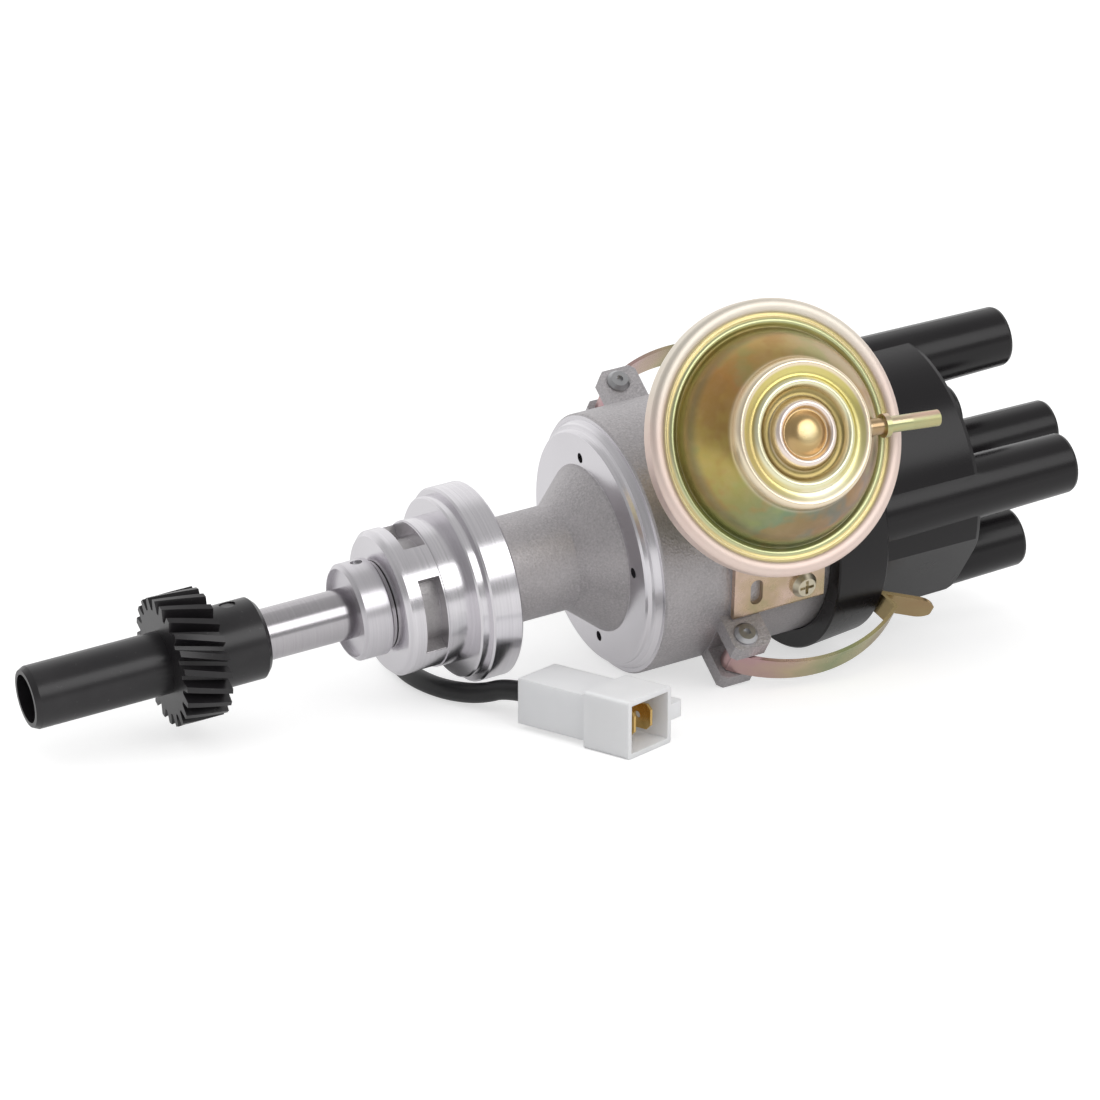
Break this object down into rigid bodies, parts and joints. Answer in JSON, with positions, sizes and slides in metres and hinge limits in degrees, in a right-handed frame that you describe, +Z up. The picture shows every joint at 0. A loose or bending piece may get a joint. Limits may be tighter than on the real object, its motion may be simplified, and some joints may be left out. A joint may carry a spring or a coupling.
{
  "type": "ignition distributor",
  "caption": "Ignition distributor with a helical drive gear, windowed aluminium shank and bowl, clipped black cap with lead towers, vacuum advance canister, and a corded signal plug.",
  "frame": {"origin": "on the shaft axis at the mounting face of the collar's lip", "axes": "+X along the table towards the cap, pitched 6.59 degrees below the shaft axis; +Z up; the vacuum unit is on the -Y side"},
  "size_m": [0.2827, 0.1293, 0.1012],
  "materials": {
    "cast_aluminium": "satin",
    "bright_steel": "satin",
    "black_steel": "satin",
    "bronze": "satin",
    "plain_steel": "satin",
    "black_plastic": "matte",
    "brown_plastic": "matte",
    "brass": "satin",
    "carbon": "matte",
    "yellow_zinc": "gloss",
    "bracket_zinc": "gloss",
    "black_rubber": "matte",
    "felt": "matte",
    "copper_winding": "satin",
    "magnet_black": "matte",
    "white_nylon": "satin",
    "black_cable": "satin"
  },
  "bodies": {
    "housing": {"housing": "cast_aluminium", "lower_bush": "bronze", "upper_bush": "bronze", "upper_clip_pin": "plain_steel", "lower_clip_pin": "plain_steel", "cap": "black_plastic", "cap_terminals": "brass", "brush_spring": "plain_steel", "front_shell": "yellow_zinc", "rear_shell": "yellow_zinc", "nipple": "yellow_zinc", "diaphragm": "black_rubber", "diaphragm_spring": "plain_steel", "vacuum_bracket": "bracket_zinc", "bracket_screw": "bright_steel", "bracket_rivets": "plain_steel", "base_plate": "plain_steel", "grommet": "black_rubber", "cable": "black_cable", "connector": "white_nylon", "connector_blades": "brass"},
    "shaft": {"shaft": "bright_steel", "drive_gear": "black_steel", "gear_pin": "plain_steel", "thrust_collar": "bright_steel", "collar_pin": "plain_steel", "thrust_washer": "bright_steel", "weight_carrier": "plain_steel", "circlip": "plain_steel", "advance_springs": "plain_steel"},
    "cam": {"cam_sleeve": "bright_steel", "reluctor": "bright_steel", "rotor": "brown_plastic", "rotor_contact": "brass", "felt_wick": "felt"},
    "weight_a": {"weight_a": "plain_steel"},
    "weight_b": {"weight_b": "plain_steel"},
    "pickup": {"pickup_plate": "plain_steel", "pickup_magnet": "magnet_black", "pickup_module": "brown_plastic", "pickup_coil": "copper_winding", "pole_piece": "plain_steel"},
    "pull_rod": {"pull_rod": "plain_steel"},
    "upper_bail": {"upper_bail": "bracket_zinc"},
    "lower_bail": {"lower_bail": "bracket_zinc"},
    "brush": {"carbon_brush": "carbon"}
  },
  "joints": [
    {"name": "shaft_spin", "type": "hinge", "parent": "housing", "child": "shaft", "pos_m": [0, 0, 0], "axis": [0.9934, 0, 0.1148], "continuous": true},
    {"name": "centrifugal_advance", "type": "hinge", "parent": "shaft", "child": "cam", "pos_m": [0, 0, 0], "axis": [0.9934, 0, 0.1148], "range_deg": [0, 12], "deforming": ["advance_springs"]},
    {"name": "weight_a_pivot", "type": "hinge", "parent": "shaft", "child": "weight_a", "pos_m": [0.05, 0, 0.02289], "axis": [0.9934, 0, 0.1148], "range_deg": [-14.46, 0]},
    {"name": "weight_b_pivot", "type": "hinge", "parent": "shaft", "child": "weight_b", "pos_m": [0.05391, 0, -0.01089], "axis": [0.9934, 0, 0.1148], "range_deg": [-14.46, 0]},
    {"name": "vacuum_advance", "type": "hinge", "parent": "housing", "child": "pickup", "pos_m": [0, 0, 0], "axis": [0.9934, 0, 0.1148], "range_deg": [0, 9.8]},
    {"name": "pull_rod_slide", "type": "slide", "parent": "housing", "child": "pull_rod", "axis": [-0.0353, -0.9516, 0.3053], "range_m": [0, 0.00299], "deforming": ["diaphragm_spring", "diaphragm"]},
    {"name": "upper_bail_hinge", "type": "hinge", "parent": "housing", "child": "upper_bail", "pos_m": [0.06092, 0.02861, 0.03297], "axis": [-0.0853, -0.6691, 0.7382], "range_deg": [0, 100]},
    {"name": "lower_bail_hinge", "type": "hinge", "parent": "housing", "child": "lower_bail", "pos_m": [0.06683, -0.02861, -0.01821], "axis": [0.0853, 0.6691, -0.7382], "range_deg": [0, 100]},
    {"name": "brush_slide", "type": "slide", "parent": "housing", "child": "brush", "axis": [0.9934, 0, 0.1148], "range_m": [0, 0.001], "deforming": ["brush_spring"]}
  ],
  "couplings": [
    {"joint": "weight_a_pivot", "follows": "centrifugal_advance", "ratio": -1.205},
    {"joint": "weight_b_pivot", "follows": "centrifugal_advance", "ratio": -1.205},
    {"joint": "pull_rod_slide", "follows": "vacuum_advance", "m_per_rad": 0.0175}
  ]
}
